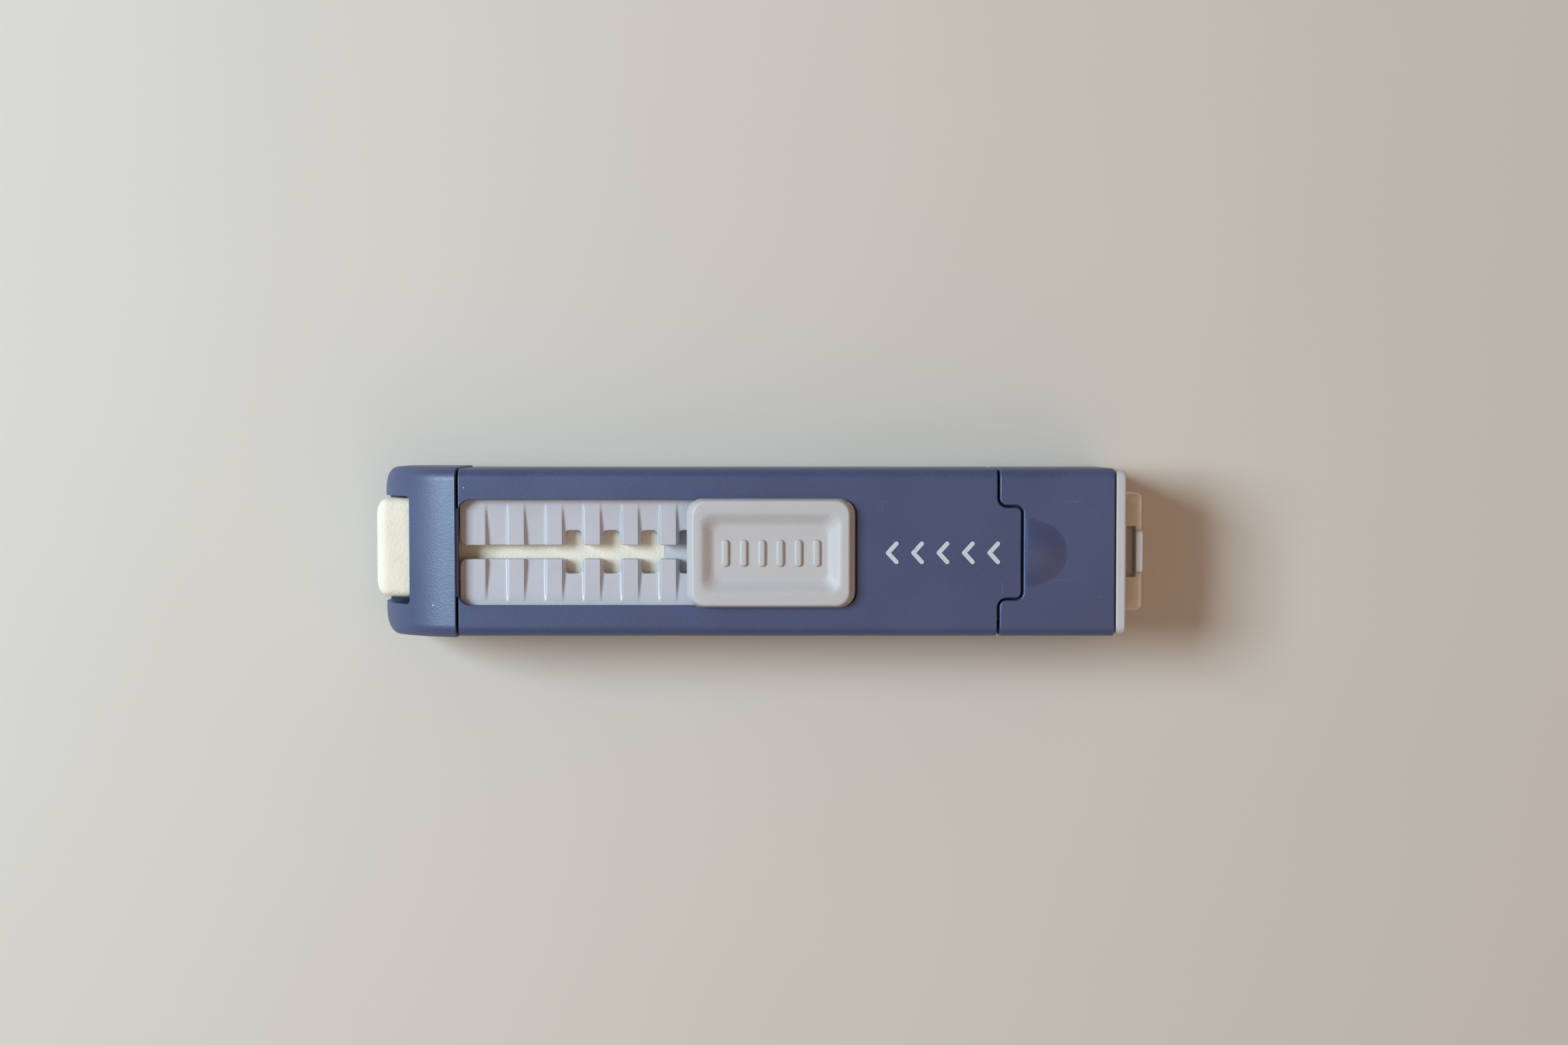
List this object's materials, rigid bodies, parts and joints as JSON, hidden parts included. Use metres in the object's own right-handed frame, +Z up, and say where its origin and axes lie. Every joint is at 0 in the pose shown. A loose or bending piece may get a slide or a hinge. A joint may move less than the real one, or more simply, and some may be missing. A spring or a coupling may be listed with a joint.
{
  "type": "slide-out eraser and pencil sharpener stick",
  "caption": "Pocket stick with a slide-out block eraser at one end and a pencil sharpener with a shavings bin and hinged closing flap at the other.",
  "frame": {"origin": "under the middle of the stick, on the surface it lies on", "axes": "+X from the eraser to the sharpener, +Y across the stick, +Z up out of the thumb slider"},
  "size_m": [0.098, 0.0216, 0.0186],
  "materials": {
    "case": "soft-touch matte",
    "track": "semi-gloss moulded",
    "slider": "fine spark-eroded grain",
    "carrier": "satin moulded",
    "eraser": "powdery matte",
    "end_plate": "satin moulded",
    "sharpener": "satin moulded",
    "blade": "ground steel",
    "screw": "plated",
    "flap": "smoky translucent polystyrene"
  },
  "bodies": {
    "housing": {"body_shell": "case", "nose_cap": "case", "track_sleeve": "track"},
    "slider": {"slider_button": "slider", "eraser_carrier": "carrier", "eraser": "eraser"},
    "bin": {"bin_cover": "case", "end_plate": "end_plate", "sharpener_body": "sharpener", "sharpener_blade": "blade", "blade_screw": "screw", "flap_hinge_pins": "screw"},
    "flap": {"entry_flap": "flap", "flap_tab": "end_plate"}
  },
  "joints": [
    {"name": "eraser_slide", "type": "slide", "parent": "housing", "child": "slider", "axis": [-1, 0, 0], "range_m": [0, 0.028]},
    {"name": "bin_pull", "type": "slide", "parent": "housing", "child": "bin", "axis": [1, 0, 0], "range_m": [0, 0.022]},
    {"name": "flap_hinge", "type": "hinge", "parent": "bin", "child": "flap", "pos_m": [0.04745, 0, 0.003], "axis": [0, 1, 0], "range_deg": [0, 90]}
  ]
}
